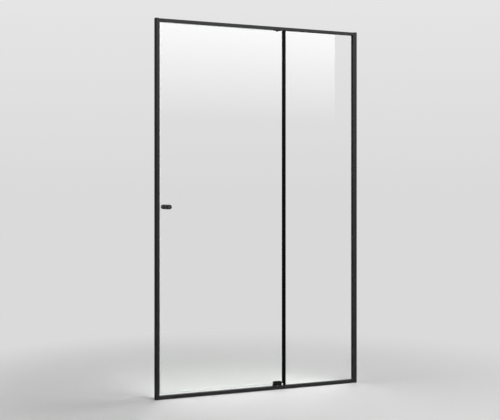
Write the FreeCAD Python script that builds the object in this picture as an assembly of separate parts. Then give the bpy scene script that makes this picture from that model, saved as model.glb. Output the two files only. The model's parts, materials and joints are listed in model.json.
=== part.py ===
import FreeCAD, Part
import os

# Framed shower door for a niche: a pivot door beside a fixed pane, in one slim frame.
# Millimetres. X runs along the doorway, -Y is the room side and +Z is up.
# The origin is the middle of the sill's underside, in the plane of the glass.

# Frame as fitted between two walls
frame_width = 1200.0
frame_height = 2000.0
frame_depth = 24.0
wall = 1.6
edge_round = 0.8
overrun = 2.0

# Glass
glass_thickness = 6.0
glass_arris = 0.5
glass_edge_gap = 1.0
fixed_pane_sight = 420.5
fixed_pane_head_bite = 7.0

# Wall channels, fixed to the walls with four screws each
channel_leg = 10.5
channel_slip = 0.3
wall_hole_radius = 2.75
wall_hole_end = 150.0
wall_hole_inner_share = 1 / 3

# Jambs, which slide over the wall channels and are then screwed to them
jamb_standoff = 4.0
jamb_leg = 14.0
jamb_width = 22.0
closing_lip = 3.5
jamb_screw_end = 250.0
jamb_screw_inset = 3.25
cap_thickness = 2.0
cap_plug_depth = 8.0

# Head and sill rails, each with a hollow chamber behind its glazing pocket
pocket_depth = 10.0
head_chamber = 2.8
sill_chamber = 5.8
port_radius = 1.45
port_wall = 1.2
port_slit = 1.2

# Mullion between the door and the fixed pane
mullion_width = 11.5
mullion_depth = 14.0
mullion_web = 5.0
mullion_skin = 1.2

# Glazing gaskets, setting blocks and the strips that close the empty pockets
gasket_thickness = 2.2
gasket_bite = 6.0
gasket_lip = 1.2
gasket_nose_share = 0.4
setting_block_height = 3.0
setting_block_length = 60.0
setting_block_inset = 50.0
filler_wall = 1.2
filler_height = 6.0
pocket_slip = 0.1

# Screws: self-tapping ones drawn at their core
screw_core = 1.4
screw_head_radius = 3.0
screw_head_height = 2.2
screw_head_room = 0.2
screw_tip = 1.5
thread_gap = 0.05
corner_screw_grip = 22.0
countersink_height = 1.6
mullion_screw_head_radius = 2.2
mullion_screw_grip = 20.0
screw_cap_radius = 5.0
screw_cap_skin = 0.9
screw_cap_bevel = 1.0

# Pivots
pivot_inset = 33.9
bracket_reach = 20.0
bracket_screw_inset = 6.0
bracket_end_gap = 0.4
pin_radius = 4.0
pin_seat = 8.0
pin_rise = 8.5
running_gap = 0.05
seat_gap = 0.03
bush_wall = 1.0
bush_length = 8.5
bush_end_gap = 0.5
washer_thickness = 1.2
washer_radius = 7.0
thrust_gap = 0.1

# Top pivot shoe, a low plate on the glass with a rounded lobe on each face
top_shoe_gap = 0.6
top_shoe_height = 3.0
top_shoe_length = 38.0
top_shoe_depth = 12.4
top_pad = 0.4
lobe_width = 18.0
lobe_drop = 4.2
spigot_radius = 3.0
spigot_length = 8.0
shoe_corner = 2.5

# Bottom pivot shoe, which carries the door
bottom_shoe_length = 50.0
bottom_shoe_depth = 15.0
bottom_shoe_base = 10.7
bottom_shoe_cheek = 13.0
bottom_shoe_shoulder = 7.0
bottom_pad = 0.5
grub_radius = 2.0
grub_spacing = 28.0

# Door seals
seal_leg_thickness = 1.3
seal_skin = 0.6
magnet_thickness = 2.2
magnet_width = 7.0
magnet_slip = 0.1
magnet_gap = 0.4
closing_seal_leg = 7.0
hinge_seal_leg = 4.5
hinge_seal_web = 1.1
bulb_radius = 2.6
bulb_wall = 0.9
swing_gap = 0.4
drip_seal_leg = 8.0
drip_web = 1.3
drip_fin = 1.2
drip_lip_reach = 4.0
drip_lip_fall = 4.0
drip_gap = 0.8
seal_end_gap = 0.3

# Knob, one half on each face of the door
knob_height = 1010.0
knob_setback = 36.0
knob_radius = 12.5
knob_length = 54.0
knob_neck_radius = 10.5
knob_neck_length = 2.5
knob_rim = 1.2
knob_dish_radius = 10.0
knob_dish_depth = 0.6
knob_washer = 1.0
knob_hole_radius = 6.0
stud_radius = 3.0
stud_engagement = 14.0
sleeve_gap = 0.15

# How much of an edge's length must lie along a direction for the edge to count as parallel to it
parallel_share = 0.999

# Places worked out from the sizes above
vec = FreeCAD.Vector
ALONG_X = vec(1, 0, 0)
ALONG_Y = vec(0, 1, 0)
UP = vec(0, 0, 1)

half_depth = frame_depth / 2
half_glass = glass_thickness / 2
pocket_half = half_glass + gasket_thickness
channel_half = half_depth - wall - channel_slip
jamb_height = frame_height - cap_thickness
head_height = pocket_depth + head_chamber + 2 * wall
sill_height = pocket_depth + sill_chamber + 2 * wall
head_bottom = jamb_height - head_height
web_reach = jamb_standoff + jamb_leg
jamb_reach = jamb_standoff + jamb_width
rail_half = frame_width / 2 - web_reach
port_offset = half_depth - wall - screw_head_room - screw_head_radius
port_inset = wall + port_wall + port_radius
wall_hole_spacing = jamb_height - 2 * wall_hole_end
wall_hole_offsets = (wall_hole_spacing / 2, wall_hole_spacing * wall_hole_inner_share / 2)
wall_hole_heights = [jamb_height / 2 + side * offset for offset in wall_hole_offsets for side in (-1, 1)]
jamb_screw_heights = (jamb_screw_end, jamb_height / 2, jamb_height - jamb_screw_end)
jamb_screw_reach = jamb_standoff + jamb_screw_inset

mullion_right = frame_width / 2 - jamb_reach - fixed_pane_sight
mullion_left = mullion_right - mullion_width
slot_floor = mullion_left + mullion_web
mullion_port = mullion_left + mullion_web / 2
fixed_left = slot_floor + glass_edge_gap
fixed_right = rail_half - glass_edge_gap
fixed_bottom = sill_height - pocket_depth + setting_block_height
fixed_top = head_bottom + fixed_pane_head_bite

seal_half = half_glass + seal_leg_thickness
bulb_centre = mullion_left - swing_gap - bulb_radius
hinge_edge = bulb_centre - hinge_seal_web
pivot_x = hinge_edge - pivot_inset
carrier_face = web_reach + closing_lip - frame_width / 2
seal_face = carrier_face + magnet_gap
magnet_pocket = magnet_thickness + magnet_slip
closing_edge = seal_face + seal_skin + magnet_pocket + seal_leg_thickness
closing_leg_end = closing_edge + closing_seal_leg
knob_x = closing_edge + knob_setback

shoe_bottom = sill_height + washer_thickness + thrust_gap
shoe_seat = shoe_bottom + bottom_shoe_base
door_bottom = shoe_seat + bottom_pad
top_shoe_top = head_bottom - top_shoe_gap
top_shoe_seat = top_shoe_top - top_shoe_height
door_top = top_shoe_seat - top_pad
pin_bore = pin_radius + running_gap
pin_bush_radius = pin_bore + bush_wall
spigot_bore = spigot_radius + running_gap
spigot_bush_radius = spigot_bore + bush_wall
bracket_left = pivot_x - bracket_reach
bracket_right = fixed_left - bracket_end_gap
bracket_screw_places = (bracket_left + bracket_screw_inset, pivot_x + bracket_reach - bracket_screw_inset)


def box(x0, x1, y0, y1, z0, z1):
    """A block between two corners."""
    return Part.makeBox(x1 - x0, y1 - y0, z1 - z0, vec(x0, y0, z0))


def rod(radius, start, direction, length):
    """A round bar from a start point."""
    return Part.makeCylinder(radius, length, start, direction)


def ring(outer, inner, start, direction, length):
    """A round bar with a bore right through it."""
    return rod(outer, start, direction, length).cut(rod(inner, start, direction, length))


def prism(points, run):
    """A straight extrusion of the outline through points."""
    return Part.Face(Part.makePolygon(points + points[:1])).extrude(run)


def edges_along(shape, direction):
    """The straight edges of a shape that run along a direction."""
    found = []
    for edge in shape.Edges:
        run = edge.Vertexes[-1].Point - edge.Vertexes[0].Point
        if abs(run.dot(direction)) > run.Length * parallel_share:
            found.append(edge)
    return found


def rounded_bar(corners, direction, radius):
    """A block whose edges along one direction are rounded."""
    bar = box(*corners)
    return bar.makeFillet(radius, edges_along(bar, direction))


def at_left(shape):
    """Stands a shape drawn from the wall inwards at the left wall."""
    return shape.translated(vec(-frame_width / 2, 0, 0))


def at_right(shape):
    """Stands the mirror image of a shape drawn from the wall inwards at the right wall."""
    return shape.mirror(vec(0, 0, 0), ALONG_X).translated(vec(frame_width / 2, 0, 0))


def in_head(shape):
    """Lifts a shape drawn with the pocket's mouth at zero height into the head rail."""
    return shape.translated(vec(0, 0, head_bottom))


def in_sill(shape):
    """Turns a shape drawn with the pocket's mouth at zero height over, into the sill rail."""
    return shape.mirror(vec(0, 0, 0), UP).translated(vec(0, 0, sill_height))


def save(name, *solids):
    """Writes one piece, or a group of like pieces, to its own file."""
    shape = solids[0] if len(solids) == 1 else Part.makeCompound(list(solids))
    shape.exportStep(f"parts/{name}.step")


# Wall channels and jambs, drawn from the wall inwards


def wall_channel():
    """A U-section against the wall, with its wall screw holes and the jamb screws' pilot holes."""
    inner = channel_half - wall
    channel = box(0, channel_leg, -channel_half, channel_half, 0, jamb_height)
    channel = channel.cut(box(wall, channel_leg + overrun, -inner, inner, -overrun, jamb_height + overrun))
    for height in wall_hole_heights:
        hole = rod(wall_hole_radius, vec(-overrun, 0, height), ALONG_X, wall + 2 * overrun)
        channel = channel.cut(hole)
    for height in jamb_screw_heights:
        pilot = rod(screw_core + thread_gap, vec(jamb_screw_reach, 0, height), ALONG_Y, half_depth)
        channel = channel.cut(pilot)
    return channel


def jamb_blank():
    """The jamb's outer bar, open to the wall, with a rear chamber, its inner part cut away at the rails."""
    jamb = rounded_bar((jamb_standoff, jamb_reach, -half_depth, half_depth, 0, jamb_height), UP, edge_round)
    inner = half_depth - wall
    low = -overrun
    high = jamb_height + overrun
    jamb = jamb.cut(box(jamb_standoff - overrun, web_reach - wall, -inner, inner, low, high))
    jamb = jamb.cut(box(web_reach, jamb_reach - wall, pocket_half + wall, inner, low, high))
    for bottom, top in ((low, sill_height), (head_bottom, high)):
        reach = jamb_reach + overrun
        jamb = jamb.cut(box(web_reach, reach, -half_depth - overrun, half_depth + overrun, bottom, top))
    for side in (-1, 1):
        for height in (port_inset, jamb_height - port_inset):
            start = vec(web_reach - wall - overrun, side * port_offset, height)
            jamb = jamb.cut(rod(screw_core + screw_head_room, start, ALONG_X, wall + 2 * overrun))
    for height in jamb_screw_heights:
        start = vec(jamb_screw_reach, 0, height)
        jamb = jamb.cut(rod(screw_core + screw_head_room, start, ALONG_Y, half_depth + overrun))
    return jamb


def glazing_jamb():
    """The jamb of the fixed pane: a pocket between two hollow chambers."""
    low = -overrun
    high = jamb_height + overrun
    pocket = box(web_reach, jamb_reach + overrun, -pocket_half, pocket_half, low, high)
    chamber = box(web_reach, jamb_reach - wall, wall - half_depth, -pocket_half - wall, low, high)
    return jamb_blank().cut(pocket).cut(chamber)


def closing_jamb():
    """The jamb that the door closes on: a rear stop, a short front lip and a seat for a magnet."""
    low = -overrun
    high = jamb_height + overrun
    reach = jamb_reach + overrun
    seat = box(web_reach, reach, wall - half_depth, pocket_half, low, high)
    front = box(web_reach + closing_lip, reach, -half_depth - overrun, pocket_half, low, high)
    return jamb_blank().cut(seat).cut(front)


def jamb_cap():
    """A lid over the jamb and its channel, with a plug that grips inside the channel."""
    lid = (0, web_reach, -half_depth, half_depth, jamb_height, frame_height)
    plug_half = channel_half - wall - channel_slip
    plug_low = jamb_height - cap_plug_depth
    plug = box(wall + channel_slip, channel_leg, -plug_half, plug_half, plug_low, jamb_height)
    return rounded_bar(lid, UP, edge_round).fuse(plug).removeSplitter()


def pan_screw(start, direction, grip):
    """A self-tapping screw with a flat round head, seated at start and pointing along a direction."""
    head = rod(screw_head_radius, start, direction * -1, screw_head_height)
    return head.fuse(rod(screw_core, start, direction, grip)).removeSplitter()


def jamb_screws():
    """The screws that fix one jamb to its channel, on the shower side."""
    grip = half_depth - channel_half + wall + screw_tip
    return [pan_screw(vec(jamb_screw_reach, half_depth, z), ALONG_Y * -1, grip) for z in jamb_screw_heights]


def screw_caps():
    """Push-on covers over one jamb's screw heads."""
    covers = []
    hollow_radius = screw_head_radius + thread_gap
    hollow_depth = screw_head_height + thread_gap
    for height in jamb_screw_heights:
        seat = vec(jamb_screw_reach, half_depth, height)
        cover = rod(screw_cap_radius, seat, ALONG_Y, hollow_depth + screw_cap_skin)
        rim = max(cover.Edges, key=lambda edge: edge.CenterOfMass.y)
        cover = cover.makeChamfer(screw_cap_bevel, [rim])
        covers.append(cover.cut(rod(hollow_radius, seat, ALONG_Y, hollow_depth)))
    return covers


def corner_screws():
    """The screws through one jamb's web into the ends of both rails."""
    places = [(side, z) for side in (-1, 1) for z in (port_inset, jamb_height - port_inset)]
    seat = web_reach - wall
    return [pan_screw(vec(seat, side * port_offset, z), ALONG_X, corner_screw_grip) for side, z in places]


# Rails and what sits in their pockets, drawn with the pocket's mouth at zero height


def rail(height):
    """A hollow rail with a glazing pocket, two side chambers, a middle chamber and two screw ports."""
    low = -rail_half - overrun
    high = rail_half + overrun
    inner = half_depth - wall
    bar = rounded_bar((-rail_half, rail_half, -half_depth, half_depth, 0, height), ALONG_X, edge_round)
    bar = bar.cut(box(low, high, -pocket_half, pocket_half, -overrun, pocket_depth))
    port_height = height - port_inset
    chamber_top = port_height - port_radius - port_wall
    middle = port_offset - port_radius - port_wall
    bar = bar.cut(box(low, high, -middle, middle, pocket_depth + wall, height - wall))
    for side in (-1, 1):
        edges = sorted((side * (pocket_half + wall), side * inner))
        bar = bar.cut(box(low, high, *edges, wall, chamber_top))
        slit = sorted((side * (pocket_half + wall), side * (pocket_half + wall + port_slit)))
        bar = bar.cut(box(low, high, *slit, wall, port_height))
        port = rod(port_radius, vec(low, side * port_offset, port_height), ALONG_X, high - low)
        bar = bar.cut(port)
    for place in bracket_screw_places:
        hole = rod(screw_core + thread_gap, vec(place, 0, pocket_depth - overrun), UP, wall + 2 * overrun)
        bar = bar.cut(hole)
    return bar


def pocket_filler():
    """A U-strip that closes the pocket over the door, flush with the rail."""
    half = pocket_half - pocket_slip
    inner = half - filler_wall
    strip = box(-rail_half, bracket_left, -half, half, 0, filler_height)
    return strip.cut(box(-rail_half, bracket_left, -inner, inner, filler_wall, filler_height))


def pivot_bracket(bore_radius, bore_depth):
    """A block in the pocket that holds the pivot and the end of the mullion."""
    half = pocket_half - pocket_slip
    block = box(bracket_left, bracket_right, -half, half, 0, pocket_depth)
    block = block.cut(rod(bore_radius, vec(pivot_x, 0, 0), UP, bore_depth))
    for place in bracket_screw_places:
        top_radius = screw_head_radius + thread_gap
        sink = Part.makeCone(top_radius, screw_core + thread_gap, countersink_height, vec(place, 0, 0), UP)
        block = block.cut(sink).cut(rod(screw_core + thread_gap, vec(place, 0, 0), UP, pocket_depth))
    block = block.cut(rod(screw_core + thread_gap, vec(mullion_port, 0, 0), UP, pocket_depth))
    recess = vec(mullion_port, 0, pocket_depth - screw_head_height)
    return block.cut(rod(mullion_screw_head_radius + thread_gap, recess, UP, screw_head_height))


def bracket_screws():
    """Countersunk screws through a pivot bracket into the floor of its pocket."""
    screws = []
    for place in bracket_screw_places:
        head = Part.makeCone(screw_head_radius, screw_core, countersink_height, vec(place, 0, 0), UP)
        shank = rod(screw_core, vec(place, 0, 0), UP, pocket_depth + wall + screw_tip)
        screws.append(head.fuse(shank).removeSplitter())
    return screws


def mullion_screw():
    """The screw that goes through a pivot bracket into the mullion's port."""
    head_low = pocket_depth - screw_head_height
    seat = vec(mullion_port, 0, head_low)
    head = rod(mullion_screw_head_radius, seat, UP, screw_head_height)
    return head.fuse(rod(screw_core, seat, UP * -1, mullion_screw_grip)).removeSplitter()


# Mullion and fixed pane


def mullion():
    """The post on the fixed pane's free edge: a glass slot, a screw port and two small chambers."""
    half = mullion_depth / 2
    low = sill_height - overrun
    high = head_bottom + overrun
    post = rounded_bar((mullion_left, mullion_right, -half, half, sill_height, head_bottom), UP, edge_round)
    post = post.cut(box(slot_floor, mullion_right + overrun, -pocket_half, pocket_half, low, high))
    post = post.cut(rod(port_radius, vec(mullion_port, 0, low), UP, high - low))
    for side in (-1, 1):
        edges = sorted((side * (port_radius + mullion_skin), side * (half - mullion_skin)))
        post = post.cut(box(mullion_left + mullion_skin, slot_floor - mullion_skin, *edges, low, high))
    return post


def pane(left, right, bottom, top):
    """A sheet of glass with ground edges."""
    sheet = box(left, right, -half_glass, half_glass, bottom, top)
    return sheet.makeChamfer(glass_arris, sheet.Edges)


def gaskets(side):
    """The four glazing strips on one face of the fixed pane, each with a sloping lip."""
    face = side * half_glass
    outer = side * pocket_half
    nose = side * (half_glass + gasket_thickness * gasket_nose_share)

    def section(mouth, inwards):
        """The strip's outline as pairs of depth and height off the glass, from a pocket's mouth inwards."""
        lip = mouth - inwards * gasket_lip
        root = mouth + inwards * gasket_bite
        return [(lip, face), (lip, nose), (mouth, outer), (root, outer), (root, face)]

    strips = []
    for mouth, inwards in ((sill_height, -1), (head_bottom, 1)):
        points = [vec(fixed_left, y, z) for z, y in section(mouth, inwards)]
        strips.append(prism(points, ALONG_X * (fixed_right - fixed_left)))
    low = sill_height + gasket_lip
    high = head_bottom - gasket_lip
    for mouth, inwards in ((mullion_right, -1), (frame_width / 2 - jamb_reach, 1)):
        points = [vec(x, y, low) for x, y in section(mouth, inwards)]
        strips.append(prism(points, UP * (high - low)))
    return strips


def setting_blocks():
    """Two blocks under the fixed pane, in the sill's pocket."""
    floor = sill_height - pocket_depth
    length = setting_block_length
    starts = (fixed_left + setting_block_inset, fixed_right - setting_block_inset - length)
    return [box(start, start + length, -half_glass, half_glass, floor, fixed_bottom) for start in starts]


# Magnets of the closing edge


def magnet(face, inwards, bottom, top):
    """A magnet strip behind the skin of its profile, whose face it looks through."""
    near = face + inwards * (seal_skin + magnet_slip / 2)
    edges = sorted((near, near + inwards * magnet_thickness))
    return box(*edges, -magnet_width / 2, magnet_width / 2, bottom, top)


def magnet_hollow(face, inwards, bottom, top):
    """The space in a profile that its magnet strip slides into."""
    half = (magnet_width + magnet_slip) / 2
    near = face + inwards * seal_skin
    edges = sorted((near, near + inwards * magnet_pocket))
    return box(*edges, -half, half, bottom - overrun, top + overrun)


def magnet_carrier():
    """The profile in the closing jamb's seat that holds the jamb's magnet."""
    edges = (wall - half_depth + pocket_slip, pocket_half - pocket_slip)
    body = box(web_reach - frame_width / 2, carrier_face, *edges, sill_height, head_bottom)
    return body.cut(magnet_hollow(carrier_face, -1, sill_height, head_bottom))


# Door leaf and its seals


def door_glass():
    """The door's pane, with a hole for the knob's stud."""
    sheet = pane(closing_edge, hinge_edge, door_bottom, door_top)
    start = vec(knob_x, -half_glass - overrun, knob_height)
    return sheet.cut(rod(knob_hole_radius, start, ALONG_Y, glass_thickness + 2 * overrun))


def closing_seal():
    """A clip on the closing edge with a hollow for the door's magnet."""
    body = box(seal_face, closing_leg_end, -seal_half, seal_half, door_bottom, door_top)
    slot = box(closing_edge, closing_leg_end + overrun, -half_glass, half_glass, door_bottom, door_top)
    return body.cut(slot).cut(magnet_hollow(seal_face, 1, door_bottom, door_top))


def hinge_seal():
    """A clip on the hinge edge with a hollow bulb that passes close to the mullion."""
    height = door_top - door_bottom
    foot = vec(bulb_centre, 0, door_bottom)
    clip = box(hinge_edge - hinge_seal_leg, bulb_centre, -seal_half, seal_half, door_bottom, door_top)
    slot = box(hinge_edge - hinge_seal_leg, hinge_edge, -half_glass, half_glass, door_bottom, door_top)
    bulb = Part.makeCylinder(bulb_radius, height, foot, UP)
    room = box(bulb_centre, bulb_centre + bulb_radius, -bulb_radius, bulb_radius, door_bottom, door_top)
    bore = Part.makeCylinder(bulb_radius - bulb_wall, height, foot, UP).common(room)
    return clip.cut(slot).fuse(bulb.common(room)).removeSplitter().cut(bore)


def drip_seal():
    """A clip on the bottom edge with a fin down to the sill and a lip that throws water inwards."""
    left = closing_leg_end + seal_end_gap
    right = pivot_x - bottom_shoe_length / 2 - seal_end_gap
    run = ALONG_X * (right - left)
    web_low = door_bottom - drip_web
    fin_low = sill_height + drip_gap
    fin = drip_fin / 2
    clip = box(left, right, -seal_half, seal_half, web_low, door_bottom + drip_seal_leg)
    clip = clip.cut(box(left, right, -half_glass, half_glass, door_bottom, door_bottom + drip_seal_leg))
    blade = box(left, right, -fin, fin, fin_low, web_low)
    lip_out = fin + drip_lip_reach
    lip = [(fin, web_low), (lip_out, web_low - drip_lip_fall), (fin, web_low - drip_fin)]
    return clip.fuse(blade).fuse(prism([vec(left, y, z) for y, z in lip], run)).removeSplitter()


# Pivots


def lobed_plate(half_thickness, top):
    """The top shoe's outline from a height down to its lobe's tip, given a thickness."""
    half = top_shoe_length / 2
    lobe_radius = ((lobe_width / 2) ** 2 + lobe_drop**2) / (2 * lobe_drop)
    plate = box(pivot_x - half, pivot_x + half, -half_thickness, half_thickness, top_shoe_seat, top)
    centre = vec(pivot_x, -half_thickness, top_shoe_seat - lobe_drop + lobe_radius)
    low = top_shoe_seat - lobe_drop - overrun
    below = box(pivot_x - half, pivot_x + half, -half_thickness, half_thickness, low, top_shoe_seat)
    lobe = rod(lobe_radius, centre, ALONG_Y, 2 * half_thickness).common(below)
    return plate, lobe


def top_shoe():
    """A low plate on the door's top edge with a lobe down each face and a spigot up into the bush."""
    plate, lobe = lobed_plate(top_shoe_depth / 2, top_shoe_top)
    plate = plate.makeFillet(shoe_corner, edges_along(plate, UP))
    slot_half = half_glass + top_pad
    reach = top_shoe_length / 2
    low = top_shoe_seat - lobe_drop - overrun
    slot = box(pivot_x - reach, pivot_x + reach, -slot_half, slot_half, low, top_shoe_seat)
    spigot = rod(spigot_radius, vec(pivot_x, 0, top_shoe_top), UP, spigot_length)
    return plate.fuse(lobe.cut(slot)).fuse(spigot).removeSplitter()


def top_shoe_pad():
    """The bonding pad between the top shoe and the glass."""
    slot_half = half_glass + top_pad
    half = top_shoe_length / 2 - shoe_corner
    strip = box(pivot_x - half, pivot_x + half, -half_glass, half_glass, door_top, top_shoe_seat)
    lobe = lobed_plate(slot_half, top_shoe_top)[1]
    low = top_shoe_seat - lobe_drop - overrun
    glass = box(pivot_x - half, pivot_x + half, -half_glass, half_glass, low, top_shoe_seat)
    return strip.fuse(lobe.cut(glass)).removeSplitter()


def bottom_shoe():
    """A clamp on the door's bottom edge with a bore for the bush underneath and two grub screw holes."""
    half = bottom_shoe_length / 2
    deep = bottom_shoe_depth / 2
    top = shoe_seat + bottom_pad + bottom_shoe_cheek
    shoe = box(pivot_x - half, pivot_x + half, -deep, deep, shoe_bottom, top)
    shoulders = [edge for edge in edges_along(shoe, ALONG_Y) if edge.CenterOfMass.z > shoe_seat]
    shoe = shoe.makeFillet(bottom_shoe_shoulder, shoulders)
    slot_half = half_glass + bottom_pad
    shoe = shoe.cut(box(pivot_x - half, pivot_x + half, -slot_half, slot_half, shoe_seat, top))
    bore_depth = bush_length + bush_end_gap
    shoe = shoe.cut(rod(pin_bush_radius + seat_gap, vec(pivot_x, 0, shoe_bottom), UP, bore_depth))
    for place in grub_places():
        shoe = shoe.cut(rod(grub_radius + thread_gap, place, ALONG_Y, deep))
    return shoe


def grub_places():
    """Where the bottom shoe's grub screws bear on the pad."""
    height = door_bottom + bottom_shoe_cheek / 2
    return [vec(pivot_x + side * grub_spacing / 2, half_glass + bottom_pad, height) for side in (-1, 1)]


def bottom_shoe_pad():
    """The U-shaped liner between the bottom shoe and the glass."""
    half = bottom_shoe_length / 2
    outer = half_glass + bottom_pad
    liner_top = door_bottom + bottom_shoe_cheek - bottom_shoe_shoulder / 2
    liner = box(pivot_x - half, pivot_x + half, -outer, outer, shoe_seat, liner_top)
    rounds = [edge for edge in edges_along(liner, ALONG_Y) if edge.CenterOfMass.z > door_bottom]
    liner = liner.makeFillet(bottom_shoe_shoulder, rounds)
    return liner.cut(box(pivot_x - half, pivot_x + half, -half_glass, half_glass, door_bottom, liner_top))


# Knob


def knob_half():
    """The half on the shower side: a turned bar with a neck at the glass and a dished end."""
    start = half_glass + knob_washer
    shoulder = start + knob_neck_length
    end = start + knob_length
    outline = [
        vec(0, start, 0),
        vec(knob_neck_radius, start, 0),
        vec(knob_neck_radius, shoulder, 0),
        vec(knob_radius, shoulder, 0),
        vec(knob_radius, end - knob_rim, 0),
        vec(knob_radius - knob_rim, end, 0),
        vec(0, end, 0),
    ]
    knob = Part.Face(Part.makePolygon(outline + outline[:1])).revolve(vec(0, 0, 0), ALONG_Y, 360)
    ball_radius = (knob_dish_radius**2 + knob_dish_depth**2) / (2 * knob_dish_depth)
    dish = Part.makeSphere(ball_radius, vec(0, end - knob_dish_depth + ball_radius, 0))
    bore = rod(stud_radius + thread_gap, vec(0, start, 0), ALONG_Y, stud_engagement + overrun)
    return knob.cut(dish).cut(bore).translated(vec(knob_x, 0, knob_height))


def mirrored(shape):
    """The same piece on the other face of the glass."""
    return shape.mirror(vec(0, 0, 0), ALONG_Y)


os.makedirs("parts", exist_ok=True)

save("wall_channel_left", at_left(wall_channel()))
save("wall_channel_right", at_right(wall_channel()))
save("closing_jamb", at_left(closing_jamb()))
save("glazing_jamb", at_right(glazing_jamb()))
save("jamb_cap_left", at_left(jamb_cap()))
save("jamb_cap_right", at_right(jamb_cap()))
for place_at, side_name in ((at_left, "left"), (at_right, "right")):
    save(f"jamb_screws_{side_name}", *map(place_at, jamb_screws()))
    save(f"jamb_screw_caps_{side_name}", *map(place_at, screw_caps()))
    save(f"corner_screws_{side_name}", *map(place_at, corner_screws()))

save("head_rail", in_head(rail(head_height)))
save("sill_rail", in_sill(rail(sill_height)))
save("head_filler", in_head(pocket_filler()))
save("sill_filler", in_sill(pocket_filler()))
save("top_bracket", in_head(pivot_bracket(spigot_bush_radius + seat_gap, bush_length + bush_end_gap)))
save("bottom_bracket", in_sill(pivot_bracket(pin_radius + seat_gap, pin_seat)))
save("top_bracket_screws", *map(in_head, bracket_screws()))
save("bottom_bracket_screws", *map(in_sill, bracket_screws()))
save("mullion_screws", in_head(mullion_screw()), in_sill(mullion_screw()))

save("mullion", mullion())
save("fixed_glass", pane(fixed_left, fixed_right, fixed_bottom, fixed_top))
save("gaskets_front", *gaskets(-1))
save("gaskets_rear", *gaskets(1))
save("setting_blocks", *setting_blocks())
save("magnet_carrier", magnet_carrier())
save("jamb_magnet", magnet(carrier_face, -1, sill_height, head_bottom))

save("top_bush", ring(spigot_bush_radius, spigot_bore, vec(pivot_x, 0, head_bottom), UP, bush_length))
pin_length = pin_seat + washer_thickness + pin_rise
save("bottom_pin", rod(pin_radius, vec(pivot_x, 0, sill_height - pin_seat), UP, pin_length))
save("thrust_washer", ring(washer_radius, pin_bore, vec(pivot_x, 0, sill_height), UP, washer_thickness))

save("door_glass", door_glass())
save("closing_seal", closing_seal())
save("door_magnet", magnet(seal_face, 1, door_bottom, door_top))
save("hinge_seal", hinge_seal())
save("drip_seal", drip_seal())
save("top_shoe", top_shoe())
save("top_shoe_pad", top_shoe_pad())
save("bottom_shoe", bottom_shoe())
save("bottom_shoe_pad", bottom_shoe_pad())
save("bottom_bush", ring(pin_bush_radius, pin_bore, vec(pivot_x, 0, shoe_bottom), UP, bush_length))
grub_length = bottom_shoe_depth / 2 - half_glass - bottom_pad
save("shoe_grub_screws", *[rod(grub_radius, place, ALONG_Y, grub_length) for place in grub_places()])

save("inner_knob", knob_half())
save("outer_knob", mirrored(knob_half()))
stud_bore = stud_radius + sleeve_gap
washer = ring(knob_neck_radius, stud_bore, vec(knob_x, half_glass, knob_height), ALONG_Y, knob_washer)
save("knob_washers", washer, mirrored(washer))
sleeve_start = vec(knob_x, -half_glass, knob_height)
save("knob_sleeve", ring(knob_hole_radius - sleeve_gap, stud_bore, sleeve_start, ALONG_Y, glass_thickness))
stud_half = half_glass + knob_washer + stud_engagement
save("knob_stud", rod(stud_radius, vec(knob_x, -stud_half, knob_height), ALONG_Y, 2 * stud_half))
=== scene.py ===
import json
import math

import bpy
import numpy as np
from bpy.props import FloatProperty, FloatVectorProperty, PointerProperty
from bpy.types import Operator, Panel, PropertyGroup
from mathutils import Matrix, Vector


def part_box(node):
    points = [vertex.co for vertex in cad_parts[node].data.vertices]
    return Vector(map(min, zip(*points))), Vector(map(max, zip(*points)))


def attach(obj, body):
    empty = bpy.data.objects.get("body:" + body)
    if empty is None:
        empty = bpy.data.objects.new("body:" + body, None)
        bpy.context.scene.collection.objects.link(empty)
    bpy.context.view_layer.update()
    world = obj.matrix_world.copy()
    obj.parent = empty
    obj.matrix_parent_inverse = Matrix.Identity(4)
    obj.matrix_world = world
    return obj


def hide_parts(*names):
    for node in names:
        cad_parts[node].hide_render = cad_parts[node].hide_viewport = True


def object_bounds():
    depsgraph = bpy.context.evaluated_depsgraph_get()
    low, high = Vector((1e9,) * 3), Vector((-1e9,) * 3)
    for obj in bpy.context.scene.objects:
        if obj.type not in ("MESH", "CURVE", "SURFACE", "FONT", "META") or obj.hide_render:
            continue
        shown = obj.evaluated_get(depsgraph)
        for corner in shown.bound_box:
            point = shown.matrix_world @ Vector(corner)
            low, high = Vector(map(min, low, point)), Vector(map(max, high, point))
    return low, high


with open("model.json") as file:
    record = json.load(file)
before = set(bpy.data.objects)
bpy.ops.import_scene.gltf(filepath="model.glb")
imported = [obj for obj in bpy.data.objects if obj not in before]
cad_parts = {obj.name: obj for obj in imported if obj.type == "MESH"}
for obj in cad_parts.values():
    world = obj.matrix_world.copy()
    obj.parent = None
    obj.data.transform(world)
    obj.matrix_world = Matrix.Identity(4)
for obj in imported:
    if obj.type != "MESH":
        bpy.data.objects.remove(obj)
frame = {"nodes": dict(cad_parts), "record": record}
CAD_LOW, CAD_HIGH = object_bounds()

bl_info = {
    "name": "Framed pivot shower door",
    "version": (1, 0, 0),
    "blender": (4, 5, 0),
    "location": "View3D > Sidebar > Shower door",
    "description": "Finishes a black framed shower door: coats, glass, seals, pivots, screws, knob and stage",
    "category": "Object",
}

MM = 0.001

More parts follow.
